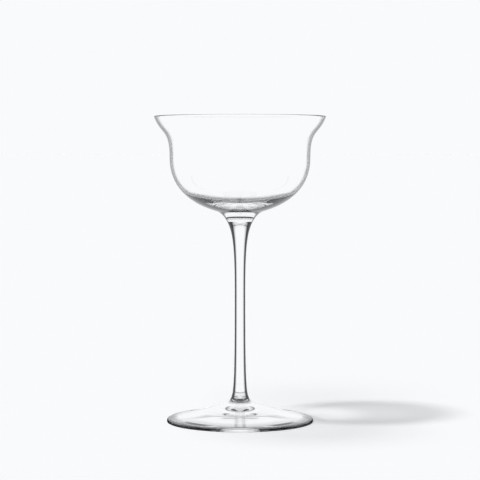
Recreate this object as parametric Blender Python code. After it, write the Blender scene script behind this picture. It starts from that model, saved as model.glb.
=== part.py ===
# Champagne coupe: a flared bowl on a drawn stem and a shallow conical foot.
# Lengths are in metres, +Z is the axis of the glass, and the foot rests on z = 0.
import math

import bmesh
import bpy
from mathutils import Vector
from mathutils.geometry import interpolate_bezier

# Foot, measured from the table
FOOT_RADIUS = 0.0383
FOOT_LOWER_EDGE_RADIUS = 0.0005
FOOT_UPPER_EDGE_RADIUS = 0.0017
FOOT_CONE_TOP_RADIUS = 0.0085
FOOT_CONE_TOP_HEIGHT = 0.0091
FOOT_BOSS_HEIGHT = 0.0119
FOOT_REST_WIDTH = 0.0058
FOOT_HOLLOW_DEPTH = 0.00495
FOOT_HOLLOW_BEND_RADIUS = 0.0205
FOOT_HOLLOW_BEND_HEIGHT = 0.0025
FOOT_EDGE_SLOPE = math.radians(8.5)
FOOT_CONE_TOP_SLOPE = math.radians(15.0)
FOOT_HOLLOW_BEND_SLOPE = math.radians(13.5)
FOOT_HOLLOW_SLOPE = math.radians(11.0)

# Stem, measured from its own base
STEM_LENGTH = 0.0926
STEM_BASE_RADIUS = 0.00485
STEM_BASE_FLARE = math.radians(30.0)
STEM_WAIST_HEIGHT = 0.0551
STEM_WAIST_RADIUS = 0.00263
STEM_HEAD_RADIUS = 0.00655
STEM_HEAD_FLARE = math.radians(28.0)

# Bowl, measured from the flat seat under its button
BOWL_HEIGHT = 0.0549
BOWL_RIM_RADIUS = 0.0449
BOWL_RIM_FLARE = math.radians(21.5)
BOWL_WAIST_HEIGHT = 0.0328
BOWL_WAIST_RADIUS = 0.03673
BOWL_WALL = 0.00085
BOWL_FLOOR_HEIGHT = 0.0067
BUTTON_TOP_HEIGHT = 0.0054
BUTTON_TOP_RADIUS = 0.0129
BUTTON_TOP_SLOPE = math.radians(16.0)

# Space left between two pieces that meet
JOINT_GAP = 0.0003

# How far each curve's handle reaches, as a share of the stretch that it shapes
HOLLOW_DOME_PULL = 0.35
HOLLOW_SKIRT_PULL = 0.35
CONE_PULL = 0.33
BOSS_PULL = 0.65
STEM_BASE_PULL = 0.055
STEM_LOWER_PULL = 0.90
STEM_UPPER_PULL = 0.68
STEM_HEAD_PULL = 0.16
BUTTON_SEAT_PULL = 0.90
BUTTON_TOP_PULL = 0.30
BELLY_FLOOR_PULL = 0.52
BELLY_WAIST_PULL = 0.58
FLARE_WAIST_PULL = 0.70
FLARE_RIM_PULL = 0.48
INNER_WAIST_PULL = 0.364
INNER_FLOOR_PULL = 0.875

# Fineness of the turned surfaces
TURN_STEPS = 48
CURVE_POINTS = 12
ARC_POINTS = 6
WELD_DISTANCE = 0.000001
SHARP_ANGLE = math.radians(40.0)

# Clear glass
GLASS_COLOUR = (0.96, 0.98, 0.98, 1.0)
GLASS_ROUGHNESS = 0.02
GLASS_IOR = 1.52


def clear_scene():
    for old in list(bpy.data.objects):
        bpy.data.objects.remove(old, do_unlink=True)


def spot(radius, height):
    return Vector((radius, 0.0, height))


def heading(angle):
    """Unit vector in the profile plane, counted from outwards (0) to upwards (90 degrees)."""
    return spot(math.cos(angle), math.sin(angle))


def curve(start, leave, end, arrive):
    """Smooth curve from start to end; leave and arrive are the handles' offsets from the two ends."""
    return interpolate_bezier(start, start + leave, end + arrive, end, CURVE_POINTS)


def arc(centre, radius, first, last):
    """Points on a circle from one heading to another."""
    turn = (last - first) / (ARC_POINTS - 1)
    return [centre + radius * heading(first + turn * step) for step in range(ARC_POINTS)]


def joined(*stretches):
    """One outline from stretches that each start where the last one ended."""
    outline = list(stretches[0])
    for stretch in stretches[1:]:
        outline += list(stretch)[1:]
    return outline


def clear_glass(name):
    glass = bpy.data.materials.new(name)
    glass.use_nodes = True
    shader = glass.node_tree.nodes["Principled BSDF"]
    shader.inputs["Base Color"].default_value = GLASS_COLOUR
    shader.inputs["Roughness"].default_value = GLASS_ROUGHNESS
    shader.inputs["Metallic"].default_value = 0.0
    shader.inputs["IOR"].default_value = GLASS_IOR
    shader.inputs["Transmission Weight"].default_value = 1.0
    return glass


def turned(name, outline, seat_height, stand):
    """A solid of revolution; its outline runs from the axis to the axis."""
    form = bmesh.new()
    points = [form.verts.new(point) for point in outline]
    for first, second in zip(points, points[1:]):
        form.edges.new((first, second))
    bmesh.ops.spin(
        form,
        geom=form.verts[:] + form.edges[:],
        axis=(0.0, 0.0, 1.0),
        cent=(0.0, 0.0, 0.0),
        angle=math.tau,
        steps=TURN_STEPS,
    )
    bmesh.ops.remove_doubles(form, verts=form.verts, dist=WELD_DISTANCE)
    bmesh.ops.recalc_face_normals(form, faces=form.faces)
    mesh = bpy.data.meshes.new(name)
    form.to_mesh(mesh)
    form.free()
    mesh.shade_smooth()
    mesh.set_sharp_from_angle(angle=SHARP_ANGLE)
    mesh.materials.append(clear_glass(name + "_glass"))
    piece = bpy.data.objects.new(name, mesh)
    piece.parent = stand
    piece.location.z = seat_height
    bpy.context.collection.objects.link(piece)
    return piece


def foot_outline():
    """From the middle of the hollow under the foot, out over the edge and up to the boss's flat top."""
    rest_outer = spot(FOOT_RADIUS - FOOT_LOWER_EDGE_RADIUS, 0.0)
    rest_inner = spot(rest_outer.x - FOOT_REST_WIDTH, 0.0)
    hollow_bend = spot(FOOT_HOLLOW_BEND_RADIUS, FOOT_HOLLOW_BEND_HEIGHT)
    dome_reach = hollow_bend.x * HOLLOW_DOME_PULL
    dome = curve(
        spot(0.0, FOOT_HOLLOW_DEPTH),
        heading(0.0) * dome_reach,
        hollow_bend,
        heading(math.pi - FOOT_HOLLOW_BEND_SLOPE) * dome_reach,
    )
    skirt_reach = (rest_inner.x - hollow_bend.x) * HOLLOW_SKIRT_PULL
    skirt = curve(
        hollow_bend,
        heading(-FOOT_HOLLOW_BEND_SLOPE) * skirt_reach,
        rest_inner,
        heading(math.pi - FOOT_HOLLOW_SLOPE) * skirt_reach,
    )
    lower_centre = spot(rest_outer.x, FOOT_LOWER_EDGE_RADIUS)
    lower_edge = arc(lower_centre, FOOT_LOWER_EDGE_RADIUS, -math.pi / 2, 0.0)
    upper_centre = spot(FOOT_RADIUS - FOOT_UPPER_EDGE_RADIUS, FOOT_LOWER_EDGE_RADIUS)
    upper_edge = arc(upper_centre, FOOT_UPPER_EDGE_RADIUS, 0.0, math.pi / 2 - FOOT_EDGE_SLOPE)
    cone_top = spot(FOOT_CONE_TOP_RADIUS, FOOT_CONE_TOP_HEIGHT)
    cone_reach = (upper_edge[-1].x - cone_top.x) * CONE_PULL
    cone = curve(
        upper_edge[-1],
        heading(math.pi - FOOT_EDGE_SLOPE) * cone_reach,
        cone_top,
        heading(-FOOT_CONE_TOP_SLOPE) * cone_reach,
    )
    boss_reach = (FOOT_BOSS_HEIGHT - FOOT_CONE_TOP_HEIGHT) * BOSS_PULL
    boss = curve(
        cone_top,
        heading(math.pi - FOOT_CONE_TOP_SLOPE) * boss_reach,
        spot(STEM_BASE_RADIUS, FOOT_BOSS_HEIGHT),
        heading(STEM_BASE_FLARE - math.pi / 2) * boss_reach,
    )
    outline = joined(dome, skirt, [rest_inner, rest_outer], lower_edge, upper_edge, cone, boss)
    return outline + [spot(0.0, FOOT_BOSS_HEIGHT)]


def stem_outline():
    """From the middle of the flat base, out and up past the waist to the middle of the flat head."""
    waist = spot(STEM_WAIST_RADIUS, STEM_WAIST_HEIGHT)
    head_rise = STEM_LENGTH - STEM_WAIST_HEIGHT
    lower = curve(
        spot(STEM_BASE_RADIUS, 0.0),
        heading(math.pi / 2 + STEM_BASE_FLARE) * STEM_WAIST_HEIGHT * STEM_BASE_PULL,
        waist,
        heading(-math.pi / 2) * STEM_WAIST_HEIGHT * STEM_LOWER_PULL,
    )
    upper = curve(
        waist,
        heading(math.pi / 2) * head_rise * STEM_UPPER_PULL,
        spot(STEM_HEAD_RADIUS, STEM_LENGTH),
        heading(-math.pi / 2 - STEM_HEAD_FLARE) * head_rise * STEM_HEAD_PULL,
    )
    return [spot(0.0, 0.0)] + joined(lower, upper) + [spot(0.0, STEM_LENGTH)]


def bowl_outline():
    """From the middle of the seat, up the outside, over the lip and down the inside to the floor."""
    button_top = spot(BUTTON_TOP_RADIUS, BUTTON_TOP_HEIGHT)
    waist = spot(BOWL_WAIST_RADIUS, BOWL_WAIST_HEIGHT)
    inner_waist = spot(BOWL_WAIST_RADIUS - BOWL_WALL, BOWL_WAIST_HEIGHT)
    button = curve(
        spot(STEM_HEAD_RADIUS, 0.0),
        heading(math.pi / 2 - STEM_HEAD_FLARE) * BUTTON_TOP_HEIGHT * BUTTON_SEAT_PULL,
        button_top,
        heading(math.pi + BUTTON_TOP_SLOPE) * BUTTON_TOP_HEIGHT * BUTTON_TOP_PULL,
    )
    belly = curve(
        button_top,
        heading(BUTTON_TOP_SLOPE) * (waist.x - button_top.x) * BELLY_FLOOR_PULL,
        waist,
        heading(-math.pi / 2) * (waist.z - button_top.z) * BELLY_WAIST_PULL,
    )
    lip_radius = BOWL_WALL / 2
    lip_centre = spot(BOWL_RIM_RADIUS - lip_radius, BOWL_HEIGHT - lip_radius)
    lip = arc(lip_centre, lip_radius, -BOWL_RIM_FLARE, math.pi - BOWL_RIM_FLARE)
    flare_height = BOWL_HEIGHT - BOWL_WAIST_HEIGHT
    rim_fall = heading(-math.pi / 2 - BOWL_RIM_FLARE) * flare_height * FLARE_RIM_PULL
    waist_rise = heading(math.pi / 2) * flare_height * FLARE_WAIST_PULL
    outer_flare = curve(waist, waist_rise, lip[0], rim_fall)
    inner_flare = curve(lip[-1], rim_fall, inner_waist, waist_rise)
    inner_belly = curve(
        inner_waist,
        heading(-math.pi / 2) * (BOWL_WAIST_HEIGHT - BOWL_FLOOR_HEIGHT) * INNER_WAIST_PULL,
        spot(0.0, BOWL_FLOOR_HEIGHT),
        heading(0.0) * inner_waist.x * INNER_FLOOR_PULL,
    )
    outline = joined(button, belly, outer_flare, lip, inner_flare, inner_belly)
    return [spot(0.0, 0.0)] + outline


def build_coupe():
    clear_scene()
    stand = bpy.data.objects.new("coupe", None)
    bpy.context.collection.objects.link(stand)
    stem_base = FOOT_BOSS_HEIGHT + JOINT_GAP
    bowl_seat = stem_base + STEM_LENGTH + JOINT_GAP
    turned("foot", foot_outline(), 0.0, stand)
    turned("stem", stem_outline(), stem_base, stand)
    turned("bowl", bowl_outline(), bowl_seat, stand)


build_coupe()
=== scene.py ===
import math
import bpy
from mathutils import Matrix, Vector
from mathutils.geometry import interpolate_bezier


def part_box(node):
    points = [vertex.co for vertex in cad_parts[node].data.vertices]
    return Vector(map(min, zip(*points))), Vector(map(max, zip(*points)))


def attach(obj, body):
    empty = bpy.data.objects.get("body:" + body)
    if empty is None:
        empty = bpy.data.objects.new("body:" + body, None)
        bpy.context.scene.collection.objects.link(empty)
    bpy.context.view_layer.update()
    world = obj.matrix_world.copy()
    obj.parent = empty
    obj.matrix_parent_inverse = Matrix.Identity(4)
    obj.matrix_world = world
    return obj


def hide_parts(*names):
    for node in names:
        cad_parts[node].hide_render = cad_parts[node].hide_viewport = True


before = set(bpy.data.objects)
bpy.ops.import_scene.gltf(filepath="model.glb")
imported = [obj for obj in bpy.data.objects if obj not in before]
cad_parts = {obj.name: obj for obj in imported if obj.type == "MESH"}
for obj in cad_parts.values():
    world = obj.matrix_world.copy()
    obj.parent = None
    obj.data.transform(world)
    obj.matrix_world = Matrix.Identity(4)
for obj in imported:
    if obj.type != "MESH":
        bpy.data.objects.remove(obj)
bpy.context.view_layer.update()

mm = 0.001

bowlLow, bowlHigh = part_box("bowl")
stemLow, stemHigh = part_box("stem")
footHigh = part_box("foot")[1]

# the fused joints lie midway in the gaps that the solids keep, and both sides share their radius and flare
head = {"height": (stemHigh.z + bowlLow.z) / 2, "radius": 6.75 * mm, "flare": 28}
base = {"height": (footHigh.z + stemLow.z) / 2, "radius": 5.0 * mm, "flare": 30}
hairline = 0.004 * mm  # left between two fused faces, so that they never coincide
samePlace = 0.001 * mm  # points closer than this are one
crispFrom = 35  # degrees between two faces from which their edge stays crisp


# colours and nodes

def fromHex(code):
    parts = [int(code[i:i + 2], 16) / 255 for i in (1, 3, 5)]
    return [p / 12.92 if p <= 0.04045 else ((p + 0.055) / 1.055) ** 2.4 for p in parts] + [1.0]


def addNode(tree, kind, settings=None, inputs=None, links=None):
    node = tree.nodes.new(kind)
    for key, value in (settings or {}).items():
        setattr(node, key, value)
    for key, value in (inputs or {}).items():
        node.inputs[key].default_value = value
    for key, source in (links or {}).items():
        tree.links.new(source, node.inputs[key])
    return node


def newMaterial(name):
    material = bpy.data.materials.new(name)
    material.use_nodes = True
    material.node_tree.nodes.clear()
    return material, material.node_tree


# clear soda-lime glass, drawn and fire polished: smooth and colourless, it bends what lies behind it
# and mirrors the white studio; where it is seen edge-on its colour is painted dark, a painted shade in place
# of dark surroundings
glass = {
    "clear": "#FFFFFF", "paintedEdgeShade": "#000000",
    "roughness": 0.0, "ior": 1.52,
    "waveLength": 14 * mm, "waveDepth": 0.02 * mm,  # slow, faint waves, which show where they bend an edge
    "shadowFrom": 0.3, "shadowFace": 0.6, "shadowEdge": 0.1,  # light let through in its shadow
}


def sodaGlass(name, shape):
    material, tree = newMaterial(name)
    place = addNode(tree, "ShaderNodeTexCoord").outputs["Object"]
    waves = addNode(tree, "ShaderNodeTexNoise", inputs={"Scale": 1 / glass["waveLength"], "Detail": 0.0},
                    links={"Vector": place})
    skin = addNode(tree, "ShaderNodeBump", inputs={"Strength": 1.0, "Distance": glass["waveDepth"]},
                   links={"Height": waves.outputs["Fac"]})

    # facing is 0 where the glass is seen face-on and 1 where it is seen edge-on
    facing = addNode(tree, "ShaderNodeLayerWeight", inputs={"Blend": 0.5}).outputs["Facing"]
    # painted shade: the glass's colour runs from clear to black between the facings of the piece's dark pair
    darkFrom, darkTo = shape["thickDark"]
    edge = addNode(tree, "ShaderNodeMapRange", {"interpolation_type": "SMOOTHSTEP"},
                   {"From Min": darkFrom, "From Max": darkTo}, {"Value": facing})
    if "thinDark" in shape:  # the thin glass higher up darkens later than the thick glass
        level = addNode(tree, "ShaderNodeSeparateXYZ", links={0: place})
        for socket, thick, thin in zip(("From Min", "From Max"), shape["thickDark"], shape["thinDark"]):
            limit = addNode(tree, "ShaderNodeMapRange", inputs={
                "From Min": shape["thickBelow"], "From Max": shape["thinAbove"],
                "To Min": thick, "To Max": thin}, links={"Value": level.outputs["Z"]})
            tree.links.new(limit.outputs["Result"], edge.inputs[socket])
    # the painted edge shade is this mix of clear and black in the glass's colour
    # a mix takes its two colours at inputs 6 and 7, and gives the mixed one at output 2
    edgeShadeMix = addNode(tree, "ShaderNodeMix", {"data_type": "RGBA"},
                   {6: fromHex(glass["clear"]), 7: fromHex(glass["paintedEdgeShade"])}, {0: edge.outputs["Result"]})
    body = addNode(tree, "ShaderNodeBsdfPrincipled", inputs={
        "Roughness": glass["roughness"], "IOR": glass["ior"], "Transmission Weight": 1.0},
        links={"Normal": skin.outputs["Normal"], "Base Color": edgeShadeMix.outputs[2]})

    # light to the table goes straight through, so the shadow is a soft grey with a darker outline
    shade = addNode(tree, "ShaderNodeMapRange", inputs={
        "From Min": glass["shadowFrom"], "To Min": glass["shadowFace"], "To Max": glass["shadowEdge"]},
        links={"Value": facing})
    passed = addNode(tree, "ShaderNodeBsdfTransparent", links={"Color": shade.outputs["Result"]})
    rays = addNode(tree, "ShaderNodeLightPath")
    both = addNode(tree, "ShaderNodeMixShader", links={
        0: rays.outputs["Is Shadow Ray"], 1: body.outputs[0], 2: passed.outputs[0]})
    addNode(tree, "ShaderNodeOutputMaterial", links={"Surface": both.outputs[0]})
    return material


# glass fused to glass: nothing is left to see where two gathers meet, so the joint's faces are see-through
fusedJoint, fusedTree = newMaterial("fused glass joint")
unseen = addNode(fusedTree, "ShaderNodeBsdfTransparent")
addNode(fusedTree, "ShaderNodeOutputMaterial", links={"Surface": unseen.outputs[0]})
print("glass defined: ior", glass["ior"])


# outlines, turned about the axis

def spot(radius, height):
    return Vector((radius, 0.0, height))


def heading(degrees, length):
    angle = math.radians(degrees)
    return Vector((math.cos(angle), 0.0, math.sin(angle))) * length


def sweep(start, leave, end, arrive, points):
    return interpolate_bezier(start, start + leave, end + arrive, end, points)


def arcOf(centre, radius, first, last, points):
    step = (last - first) / (points - 1)
    return [centre + heading(first + step * i, radius) for i in range(points)]


def chain(*stretches):
    outline = list(stretches[0])
    for stretch in stretches[1:]:
        outline += list(stretch)[1:]
    return outline


def turn(name, outline, steps):
    bpy.ops.object.select_all(action="DESELECT")
    bpy.ops.mesh.primitive_circle_add(vertices=3, radius=mm, location=outline[0])
    piece = bpy.context.object
    piece.name = piece.data.name = name
    bpy.ops.object.transform_apply(location=True, rotation=True, scale=True)
    bpy.ops.object.mode_set(mode="EDIT")
    bpy.ops.mesh.select_all(action="SELECT")
    bpy.ops.mesh.merge(type="CENTER")  # one vertex on the axis, drawn out along the outline
    for here, there in zip(outline, outline[1:]):
        bpy.ops.mesh.extrude_region_move(TRANSFORM_OT_translate={"value": there - here})
    bpy.ops.mesh.select_all(action="SELECT")
    bpy.ops.mesh.spin(steps=steps, angle=math.tau, center=(0, 0, 0), axis=(0, 0, 1))
    bpy.ops.mesh.select_all(action="SELECT")
    bpy.ops.mesh.remove_doubles(threshold=samePlace)
    bpy.ops.mesh.normals_make_consistent(inside=False)
    bpy.ops.object.mode_set(mode="OBJECT")
    bpy.ops.object.shade_smooth_by_angle(angle=math.radians(crispFrom))
    return piece


def dress(piece, glassMaterial, *joints):
    piece.data.materials.append(glassMaterial)
    piece.data.materials.append(fusedJoint)
    for face in piece.data.polygons:
        heights = [piece.data.vertices[v].co.z for v in face.vertices]
        if any(all(abs(z - joint) < samePlace for z in heights) for joint in joints):
            face.material_index = 1


# in the dictionaries of the pieces a slope is in degrees from level and a flare in degrees from upright;
# a pull is how far a curve runs on in its end's direction, as a share of its width or height;
# each dark pair says at which facing the painted edge shade on the glass starts and at which it is darkest,
# and thickBelow and thinAbove are heights over the table

# bowl, with its other heights from its lowest point
bowlShape = {
    "wall": 0.85 * mm, "rimFlare": 21.5, "rimPull": 0.48,
    "waistRadius": 36.73 * mm, "waistHeight": 32.8 * mm, "waistUpPull": 0.70, "waistDownPull": 0.58,
    "floorHeight": 6.7 * mm, "floorSpread": 31.4 * mm, "floorDrop": 9.5 * mm,  # the last two are pulls in mm
    "buttonRadius": 12.9 * mm, "buttonHeight": 5.4 * mm, "buttonSlope": 16,
    "headPull": 0.9, "buttonPull": 0.3, "bellyPull": 0.52,
    "thickDark": (0.58, 0.72), "thickBelow": 116.5 * mm, "thinDark": (0.7, 0.82), "thinAbove": 119 * mm,
    "points": 40, "lipPoints": 17, "floorPoints": 50, "steps": 192,
}


def makeBowl(shape):
    seatHeight = head["height"] + hairline / 2
    rimHeight = bowlHigh.z - bowlLow.z
    points = shape["points"]
    waist = spot(shape["waistRadius"], shape["waistHeight"])
    innerWaist = spot(shape["waistRadius"] - shape["wall"], shape["waistHeight"])

    # the thick button under the bowl, then its belly
    seat = spot(head["radius"], seatHeight - bowlLow.z)
    buttonTop = spot(shape["buttonRadius"], shape["buttonHeight"])
    button = sweep(seat, heading(90 - head["flare"], buttonTop.z * shape["headPull"]),
                   buttonTop, heading(180 + shape["buttonSlope"], buttonTop.z * shape["buttonPull"]),
                   points // 2)
    belly = sweep(buttonTop, heading(shape["buttonSlope"], (waist.x - buttonTop.x) * shape["bellyPull"]),
                  waist, heading(-90, (waist.z - buttonTop.z) * shape["waistDownPull"]), points)

    # the flare, up its outside, round the lip and down its inside
    lipRadius = shape["wall"] / 2
    lip = arcOf(spot(bowlHigh.x - lipRadius, rimHeight - lipRadius), lipRadius,
                -shape["rimFlare"], 180 - shape["rimFlare"], shape["lipPoints"])
    flareHeight = rimHeight - shape["waistHeight"]
    rise = heading(90, flareHeight * shape["waistUpPull"])
    fall = heading(-90 - shape["rimFlare"], flareHeight * shape["rimPull"])
    outside = sweep(waist, rise, lip[0], fall, points)
    inside = sweep(lip[-1], fall, innerWaist, rise, points)
    floor = sweep(innerWaist, heading(-90, shape["floorDrop"]),
                  spot(0, shape["floorHeight"]), heading(0, shape["floorSpread"]), shape["floorPoints"])

    outline = [spot(0, seat.z)] + chain(button, belly, outside, lip, inside, floor)
    piece = turn("bowl_glass", [point + spot(0, bowlLow.z) for point in outline], shape["steps"])
    dress(piece, sodaGlass("soda-lime glass bowl", shape), seatHeight)
    return piece


# stem, with heights from its lowest point; it is solid, and its painted edge shade starts early all along
stemShape = {
    "waistRadius": 2.75 * mm, "waistHeight": 55.1 * mm,
    "basePull": 0.055, "waistDownPull": 0.9, "waistUpPull": 0.68, "headPull": 0.16,
    "thickDark": (0.11, 0.33),
    "points": 60, "steps": 128,
}


def makeStem(shape):
    low = base["height"] + hairline / 2
    high = head["height"] - hairline / 2
    bottom = spot(base["radius"], low - stemLow.z)
    top = spot(head["radius"], high - stemLow.z)
    waist = spot(shape["waistRadius"], shape["waistHeight"])
    below = shape["waistHeight"]
    above = stemHigh.z - stemLow.z - below
    lower = sweep(bottom, heading(90 + base["flare"], below * shape["basePull"]),
                  waist, heading(-90, below * shape["waistDownPull"]), shape["points"])
    upper = sweep(waist, heading(90, above * shape["waistUpPull"]),
                  top, heading(-90 - head["flare"], above * shape["headPull"]), shape["points"])
    outline = [spot(0, bottom.z)] + chain(lower, upper) + [spot(0, top.z)]
    piece = turn("stem_glass", [point + spot(0, stemLow.z) for point in outline], shape["steps"])
    dress(piece, sodaGlass("soda-lime glass stem", shape), low, high)
    return piece


# foot, hollow underneath, standing on a flat ring
footShape = {
    "lowerEdge": 0.5 * mm, "upperEdge": 1.7 * mm, "rest": 5.8 * mm,  # two rounding radii, width of the ring
    "hollow": 4.95 * mm, "hollowSlope": 11, "domePull": 0.35,
    "bendRadius": 20.5 * mm, "bendHeight": 2.49 * mm, "bendSlope": 13.5, "skirtPull": 0.35,
    "edgeSlope": 8.5, "sidePull": 0.33,
    "coneRadius": 8.5 * mm, "coneHeight": 9.1 * mm, "coneSlope": 15, "collarPull": 0.65,
    "thickDark": (0.3, 0.9), "thickBelow": 2 * mm, "thinDark": (0.85, 1.0), "thinAbove": 3 * mm,
    "points": 40, "lowerPoints": 9, "upperPoints": 15, "steps": 192,
}


def makeFoot(shape):
    top = base["height"] - hairline / 2
    points = shape["points"]

    # the underside, from the axis out to the ring
    restOuter = spot(footHigh.x - shape["lowerEdge"], 0)
    restInner = spot(restOuter.x - shape["rest"], 0)
    bend = spot(shape["bendRadius"], shape["bendHeight"])
    domePull = bend.x * shape["domePull"]
    dome = sweep(spot(0, shape["hollow"]), heading(0, domePull),
                 bend, heading(180 - shape["bendSlope"], domePull), points)
    skirtPull = (restInner.x - bend.x) * shape["skirtPull"]
    skirt = sweep(bend, heading(-shape["bendSlope"], skirtPull),
                  restInner, heading(180 - shape["hollowSlope"], skirtPull), points // 2)

    # round the edge, then up the cone and the collar to the stem
    lower = arcOf(spot(restOuter.x, shape["lowerEdge"]), shape["lowerEdge"], -90, 0, shape["lowerPoints"])
    upper = arcOf(spot(footHigh.x - shape["upperEdge"], shape["lowerEdge"]), shape["upperEdge"],
                  0, 90 - shape["edgeSlope"], shape["upperPoints"])
    cone = spot(shape["coneRadius"], shape["coneHeight"])
    sidePull = (upper[-1].x - cone.x) * shape["sidePull"]
    side = sweep(upper[-1], heading(180 - shape["edgeSlope"], sidePull),
                 cone, heading(-shape["coneSlope"], sidePull), points)
    collarPull = (footHigh.z - shape["coneHeight"]) * shape["collarPull"]
    collar = sweep(cone, heading(180 - shape["coneSlope"], collarPull),
                   spot(base["radius"], top), heading(base["flare"] - 90, collarPull), points // 2)

    outline = chain(dome, skirt, [restInner, restOuter], lower, upper, side, collar) + [spot(0, top)]
    piece = turn("foot_glass", outline, shape["steps"])
    dress(piece, sodaGlass("soda-lime glass foot", shape), top)
    return piece


makers = (("bowl", makeBowl, bowlShape), ("stem", makeStem, stemShape), ("foot", makeFoot, footShape))
for node, make, shape in makers:
    piece = make(shape)
    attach(piece, "root")
    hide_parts(node)
    print("made", piece.name, len(piece.data.polygons), "faces")

# camera, with its focal length in pixels of the square frame
scene = bpy.context.scene
view = {"distance": 939.3 * mm, "height": 140.4 * mm, "tilt": 2.751, "focal": 1799.2, "frame": 480,
        "sensor": 36, "near": 0.01, "far": 1000}
bpy.ops.object.camera_add(location=(0, -view["distance"], view["height"]),
                          rotation=(math.radians(90 - view["tilt"]), 0, 0))
camera = bpy.context.object
camera.data.sensor_width = view["sensor"]
camera.data.lens = view["sensor"] * view["focal"] / view["frame"]
camera.data.clip_start = view["near"]
camera.data.clip_end = view["far"]
scene.camera = camera
print("camera set:", round(camera.data.lens, 1), "mm lens")

# light table of milk acrylic, out to the horizon: an even near-white, of which the lamps give their share
# and the rest is its own glow, so that shadows on it stay pale
stage = {"white": "#F9FAFC", "lampShare": 0.66, "albedo": 0.8, "size": 600, "drop": 0.02 * mm}
backdrop = fromHex(stage["white"])


def dimmed(share):
    return [c * share for c in backdrop[:3]] + [1.0]


bpy.ops.mesh.primitive_plane_add(size=stage["size"], location=(0, 0, -stage["drop"]))
table = bpy.context.object
table.name = "light_table"
tableMaterial, tree = newMaterial("milk acrylic light table")
lit = addNode(tree, "ShaderNodeEmission", inputs={"Color": backdrop, "Strength": 1 - stage["lampShare"]})
matte = addNode(tree, "ShaderNodeBsdfDiffuse", inputs={"Color": dimmed(stage["albedo"])})
total = addNode(tree, "ShaderNodeAddShader", links={0: lit.outputs[0], 1: matte.outputs[0]})
addNode(tree, "ShaderNodeOutputMaterial", links={"Surface": total.outputs[0]})
table.data.materials.append(tableMaterial)
table.visible_transmission = table.visible_glossy = False  # the glass sees the studio, not its own shadow

world = bpy.data.worlds.new("white studio")
world.use_nodes = True
world.node_tree.nodes["Background"].inputs["Color"].default_value = backdrop
world.cycles_visibility.diffuse = False  # the lamps alone light the table
scene.world = world

# glowing card under the foot, seen by the glass alone in place of the lit table: its glow greys towards its
# edge, a painted shadow of the foot's rim that gives the foot its rings, and two darker spots beyond the
# stem are a painted shadow of the stem; each stop is a radius in millimetres and a brightness
card = {
    "radius": 38.3 * mm, "drop": 0.01 * mm, "sides": 96,
    "stops": [(0, 0.95), (20, 1.0), (25, 0.8), (29, 0.68), (34, 0.62), (36, 0.4), (38.3, 0.1)],
    "spot": 5.2 * mm, "spotInner": 3 * mm, "spotOuter": 6 * mm, "spotBright": 0.35,
}
bpy.ops.mesh.primitive_circle_add(vertices=card["sides"], radius=card["radius"],
                                  location=(0, 0, -card["drop"]), fill_type="NGON")
disc = bpy.context.object
disc.name = "glowing_card_painted_shadow"
discMaterial, tree = newMaterial("glowing card with painted shadow")
place = addNode(tree, "ShaderNodeTexCoord").outputs["Object"]
middle = addNode(tree, "ShaderNodeVectorMath", {"operation": "LENGTH"}, links={0: place})
outward = addNode(tree, "ShaderNodeMath", {"operation": "DIVIDE"}, {1: card["radius"]},
                  {0: middle.outputs["Value"]})
# painted shadow: the card's glow dims towards its edge, under the foot's rim
ramp = addNode(tree, "ShaderNodeValToRGB", links={"Fac": outward.outputs[0]})
stops = ramp.color_ramp.elements
for count, (radius, bright) in enumerate(card["stops"]):
    stop = stops[count] if count < 2 else stops.new(1)  # a new ramp already has two stops
    stop.position = radius * mm / card["radius"]
    stop.color = dimmed(bright)
parts = addNode(tree, "ShaderNodeSeparateXYZ", links={0: place})
aside = addNode(tree, "ShaderNodeMath", {"operation": "ABSOLUTE"}, links={0: parts.outputs["X"]})
folded = addNode(tree, "ShaderNodeCombineXYZ", links={"X": aside.outputs[0], "Y": parts.outputs["Y"]})
away = addNode(tree, "ShaderNodeVectorMath", {"operation": "DISTANCE"}, {1: (card["spot"], card["spot"], 0)},
               {0: folded.outputs[0]})
# painted shadow: two dimmer spots beyond the stem
paintedStemShadows = addNode(tree, "ShaderNodeMapRange", {"interpolation_type": "SMOOTHSTEP"}, {
    "From Min": card["spotInner"], "From Max": card["spotOuter"], "To Min": card["spotBright"]},
    {"Value": away.outputs["Value"]})
glow = addNode(tree, "ShaderNodeEmission", links={
    "Color": ramp.outputs["Color"], "Strength": paintedStemShadows.outputs["Result"]})
addNode(tree, "ShaderNodeOutputMaterial", links={"Surface": glow.outputs[0]})
disc.data.materials.append(discMaterial)
disc.visible_camera = disc.visible_diffuse = disc.visible_shadow = False
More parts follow.
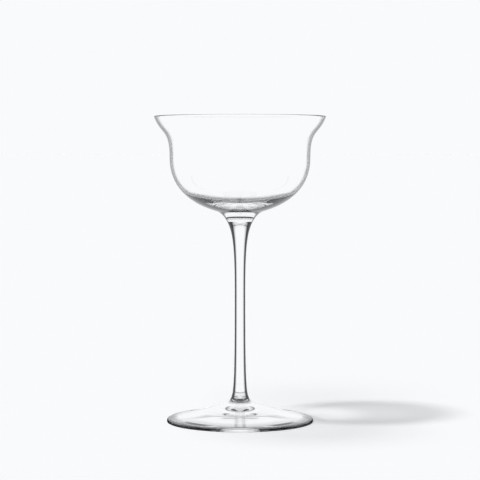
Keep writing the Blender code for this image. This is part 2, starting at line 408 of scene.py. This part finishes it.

# low hoop of black paper round the foot, seen by the glass alone: a painted shade standing in for the shade
# at the foot's edge, it draws the dark line along that edge
hoop = {"radius": 39.2 * mm, "low": -6 * mm, "high": 2.0 * mm, "sides": 96, "paper": "#000000"}
hoopMiddle = (hoop["low"] + hoop["high"]) / 2
bpy.ops.mesh.primitive_cylinder_add(vertices=hoop["sides"], radius=hoop["radius"], end_fill_type="NOTHING",
                                    depth=hoop["high"] - hoop["low"], location=(0, 0, hoopMiddle))
ring = bpy.context.object
ring.name = "shade_hoop_round_foot"
ringMaterial, tree = newMaterial("black hoop as painted shade")
dark = addNode(tree, "ShaderNodeEmission", inputs={"Color": fromHex(hoop["paper"])})
addNode(tree, "ShaderNodeOutputMaterial", links={"Surface": dark.outputs[0]})
ring.data.materials.append(ringMaterial)
ring.visible_camera = ring.visible_diffuse = ring.visible_shadow = False
print("stage set:", table.name, disc.name, ring.name)

# lamps, each with its share of the light on the table, and angles in degrees
lamps = [
    {"name": "key", "azimuth": -115, "elevation": 63.5, "share": 0.55, "angle": 7},
    {"name": "front_fill", "azimuth": -156, "elevation": 54, "share": 0.15, "angle": 22},
    {"name": "back_fill", "azimuth": -52, "elevation": 73, "share": 0.30, "angle": 18},
]
for lamp in lamps:
    azimuth = math.radians(lamp["azimuth"])
    elevation = math.radians(lamp["elevation"])
    level = math.cos(elevation)
    towards = Vector((math.sin(azimuth) * level, math.cos(azimuth) * level, math.sin(elevation)))
    bpy.ops.object.light_add(type="SUN", location=towards)
    sun = bpy.context.object
    sun.name = lamp["name"]
    sun.rotation_euler = towards.to_track_quat("Z", "Y").to_euler()
    sun.data.energy = lamp["share"] * stage["lampShare"] * math.pi / (stage["albedo"] * math.sin(elevation))
    sun.data.angle = math.radians(lamp["angle"])
    sun.data.cycles.use_multiple_importance_sampling = False  # so no sun shows as a spark in the glass

# the light that the bowl gathers beside the foot, which traced shadows leave out
gathered = {"place": (40 * mm, 26 * mm, 500 * mm), "reach": 34 * mm, "power": 2.6, "softness": 5 * mm}
bpy.ops.object.light_add(type="SPOT", location=gathered["place"])
glint = bpy.context.object
glint.name = "gathered_light"
glint.data.energy = gathered["power"]
glint.data.spot_size = 2 * math.atan(gathered["reach"] / gathered["place"][2])
glint.data.spot_blend = 1.0
glint.data.shadow_soft_size = gathered["softness"]
glint.visible_glossy = glint.visible_transmission = False
print("lamps set:", [lamp["name"] for lamp in lamps], glint.name)

# a ray crosses many faces of the glass before it leaves, and traced caustics would stay noisy
tracing = {
    "max_bounces": 40, "transmission_bounces": 32, "glossy_bounces": 16, "transparent_max_bounces": 40,
    "diffuse_bounces": 1, "caustics_refractive": False, "caustics_reflective": False,
}
for setting, value in tracing.items():
    setattr(scene.cycles, setting, value)
scene.view_settings.view_transform = "Standard"
